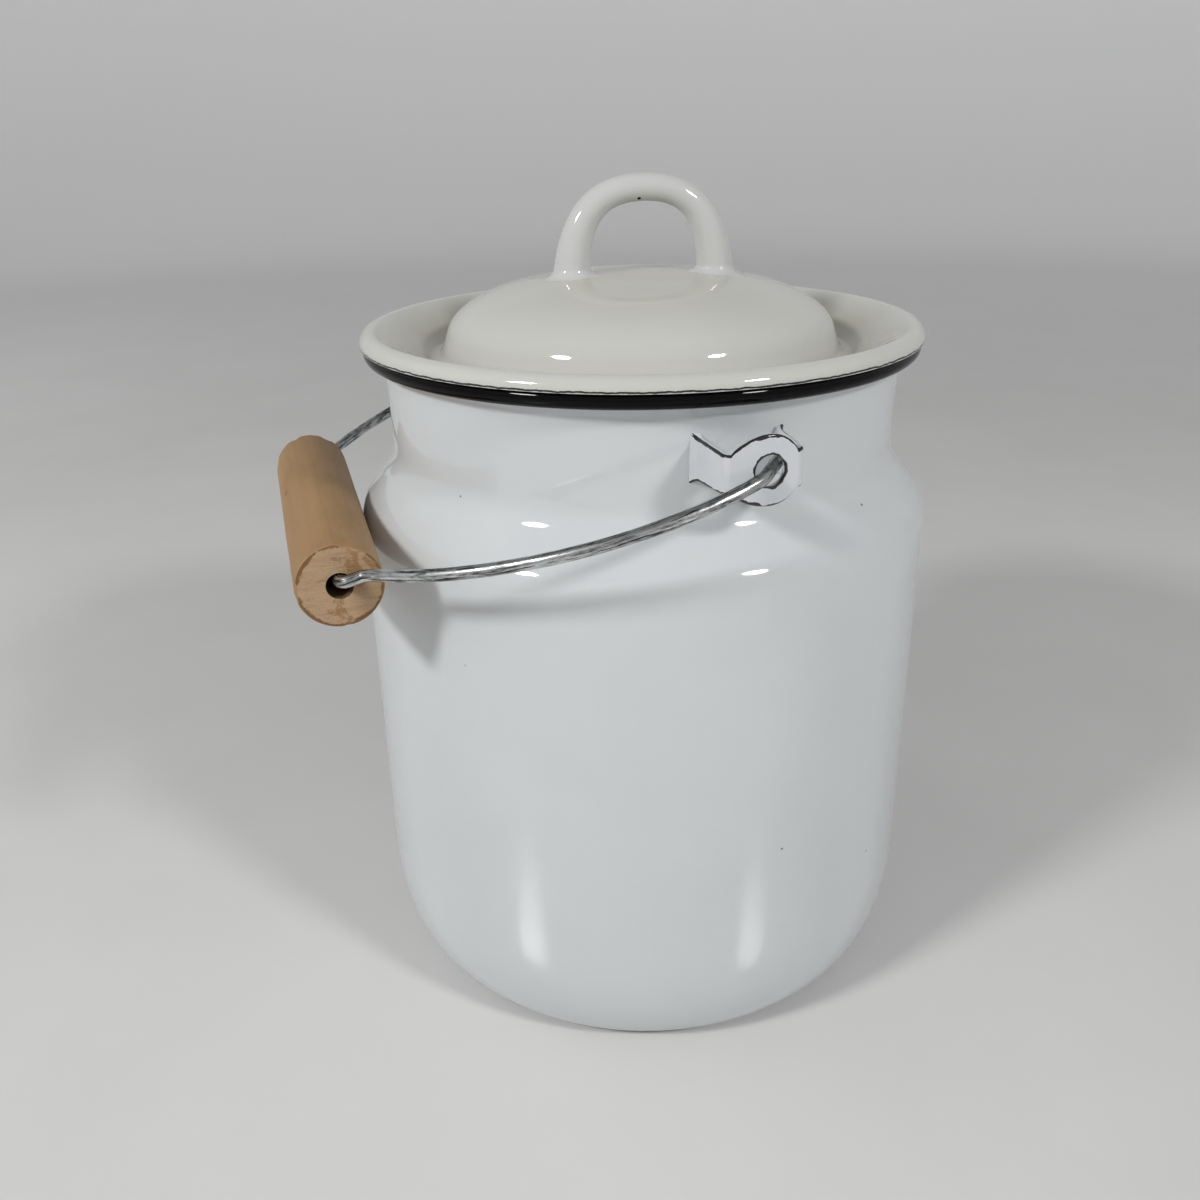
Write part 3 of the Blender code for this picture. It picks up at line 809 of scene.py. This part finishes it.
def makeGrip(s, middle):
    end = s["length"] / 2
    roundR = s["radius"] - s["edge"]
    nearBore = s["bore"] + 0.0002
    profile = [Vector((s["bore"], -end)), Vector((s["endRing"], -end))]
    profile += arcPoints((roundR, s["edge"] - end), s["edge"], -90, 0, 15.0)
    straight = s["length"] - 2 * s["edge"]
    profile += [Vector((s["radius"], -end + s["edge"] + straight * i / 60)) for i in range(1, 60)]
    profile += arcPoints((roundR, end - s["edge"]), s["edge"], 0, 90, 15.0)
    profile += [Vector((s["endRing"], end)), Vector((s["bore"], end)), Vector((s["bore"], -end))]
    place = Matrix.Translation(middle) @ Matrix.Rotation(math.pi / 2, 4, "Y")
    mesh = spinProfile("grip", [tuple(p) for p in profile], s["steps"])
    finishes = [makeWoodFinish(s), makeEndFinish(s, middle), makeBoreFinish(s)]
    for face in mesh.polygons:
        radius = math.hypot(face.center.x, face.center.y)
        if abs(face.normal.z) > 0.8:
            face.material_index = 1
        elif radius < nearBore:
            face.material_index = 2
    for vert in mesh.vertices:
        radius = math.hypot(vert.co.x, vert.co.y)
        if radius < nearBore:
            continue
        # hand turned: a little uneven, with nicks on the end edges
        slow = noise.noise(Vector((vert.co.x * 60, vert.co.y * 60, vert.co.z * 45)))
        nick = max(0.0, noise.noise(vert.co * 260) - 0.12) * 0.0016
        atEdge = max(0.0, 1 - (end - abs(vert.co.z)) / 0.0025) if radius > roundR - 0.0004 else 0.0
        shrink = 1 - (0.00008 * (1 + slow) + nick * atEdge) / radius
        vert.co.x *= shrink
        vert.co.y *= shrink
    mesh.transform(place)
    addPiece("grip", mesh, finishes, "grip", "bail_grip")


makeGrip(gripSet, gripMiddle)
print("grip made")


# floor, lights and camera
stageSet = {
    "floorRadius": 1.7, "coveRadius": 0.6, "wallTop": 0.85,
    "floorTone": (0.70, 0.695, 0.685), "floorShade": (0.67, 0.665, 0.655), "wallTone": (0.97, 0.965, 0.96),
    "floorDrop": 0.0003, "floorRough": 0.6, "varnishRough": 0.17,
    "worldTone": (0.80, 0.81, 0.82), "worldLow": 0.85, "worldHigh": 0.25,
}


def makeFloor(s):
    profile = [(0.0, 0.0)] + [(s["floorRadius"] * i / 20, 0.0) for i in range(1, 20)]
    cove = arcPoints((s["floorRadius"], s["coveRadius"]), s["coveRadius"], -90, 0, 6.0)
    profile += [tuple(p) for p in cove] + [(s["floorRadius"] + s["coveRadius"], s["wallTop"])]
    mesh = spinProfile("floor", [(r, z - s["floorDrop"]) for r, z in profile], 96)
    finish, tree, shader = newFinish("paleFloor")
    where = objectSpace(tree)
    fleck = noiseOf(tree, where, 9.0, 4.0)
    colour = mixColour(tree, remap(tree, fleck, 0.35, 0.68), s["floorShade"], s["floorTone"])
    axes = axesOf(tree, where)
    across = lengthOf(tree, axes["X"], axes["Y"])
    colour = mixColour(tree, remap(tree, across, 0.7, 1.9), colour, s["wallTone"])
    tree.links.new(colour, shader.inputs["Base Color"])
    shader.inputs["Roughness"].default_value = s["floorRough"]
    # matt to the eye, and varnished where the enamel mirrors it
    seen = addNode(tree, "ShaderNodeLightPath").outputs["Is Camera Ray"]
    tree.links.new(sums(tree, "SUBTRACT", 1.0, seen), shader.inputs["Coat Weight"])
    shader.inputs["Coat Roughness"].default_value = s["varnishRough"]
    floor = bpy.data.objects.new("floor", mesh)
    bpy.context.scene.collection.objects.link(floor)
    mesh.materials.append(finish)


makeFloor(stageSet)

world = bpy.data.worlds.new("softRoom")
bpy.context.scene.world = world
world.use_nodes = True
world.node_tree.nodes["Background"].inputs["Color"].default_value = (*stageSet["worldTone"], 1.0)
# softer from above than from the sides
skyTree = world.node_tree
skyDirection = addNode(skyTree, "ShaderNodeTexCoord").outputs["Generated"]
skyHeight = axesOf(skyTree, skyDirection)["Z"]
skyLevel = remap(skyTree, skyHeight, 0.05, 0.85, stageSet["worldLow"], stageSet["worldHigh"])
skyTree.links.new(skyLevel, skyTree.nodes["Background"].inputs["Strength"])

cameraSet = {
    "place": (0.2980, -0.1006, 0.2408), "lens": 33.78, "sensor": 36.0,
    "pitchDeg": 23.52, "yawDeg": -2.26, "rollDeg": -1.16, "earDeg": 18.65,
}

# azimuth is from the camera's side of the can, plus is to the right in the picture
lampSet = {
    "lampLeft": {"azimuth": -48.5, "elevation": 34.0, "away": 1.3, "size": (0.230, 0.160), "watts": 8.0},
    "lampRight": {"azimuth": 47.5, "elevation": 34.0, "away": 1.3, "size": (0.205, 0.150), "watts": 6.0},
    "lampSide": {
        "azimuth": -105.0, "elevation": 18.0, "away": 1.4, "size": (0.9, 0.8), "watts": 2.2,
        "fill": True,  # not mirrored in the enamel
    },
}
lampAim = Vector((0.0, 0.0, 0.12))


def makeLamp(name, s):
    angle = math.radians(s["azimuth"] - cameraSet["earDeg"])
    lift = math.radians(s["elevation"])
    toward = Vector((math.cos(angle) * math.cos(lift), math.sin(angle) * math.cos(lift), math.sin(lift)))
    light = bpy.data.lights.new(name, "AREA")
    light.shape = "ELLIPSE"
    light.size, light.size_y = s["size"]
    light.energy = s["watts"]
    lamp = bpy.data.objects.new(name, light)
    bpy.context.scene.collection.objects.link(lamp)
    lamp.location = lampAim + toward * s["away"]
    lamp.rotation_euler = toward.to_track_quat("Z", "Y").to_euler()
    lamp.visible_camera = False
    lamp.visible_glossy = "fill" not in s


for lampName, lampValues in lampSet.items():
    makeLamp(lampName, lampValues)


def makeCamera(s):
    pitch, yaw, roll = (math.radians(s[key]) for key in ("pitchDeg", "yawDeg", "rollDeg"))
    turn = math.radians(s["earDeg"])
    forward = Vector((math.sin(yaw) * math.cos(pitch), math.cos(yaw) * math.cos(pitch), -math.sin(pitch)))
    level = Vector((math.cos(yaw), -math.sin(yaw), 0.0))
    upright = level.cross(forward)
    right = level * math.cos(roll) + upright * math.sin(roll)
    up = upright * math.cos(roll) - level * math.sin(roll)

    def toPart(v):
        x = v.x * math.sin(turn) - v.y * math.cos(turn)
        y = v.x * math.cos(turn) + v.y * math.sin(turn)
        return Vector((x, y, v.z))

    axes = Matrix((toPart(right), toPart(up), -toPart(forward))).transposed().to_4x4()
    data = bpy.data.cameras.new("photoCamera")
    data.lens = s["lens"]
    data.sensor_width = s["sensor"]
    data.clip_start = 0.01
    camera = bpy.data.objects.new("photoCamera", data)
    bpy.context.scene.collection.objects.link(camera)
    camera.matrix_world = Matrix.Translation(s["place"]) @ axes
    bpy.context.scene.camera = camera


makeCamera(cameraSet)
bpy.context.scene.view_settings.view_transform = "Standard"
print("stage made")

bpy.context.view_layer.update()
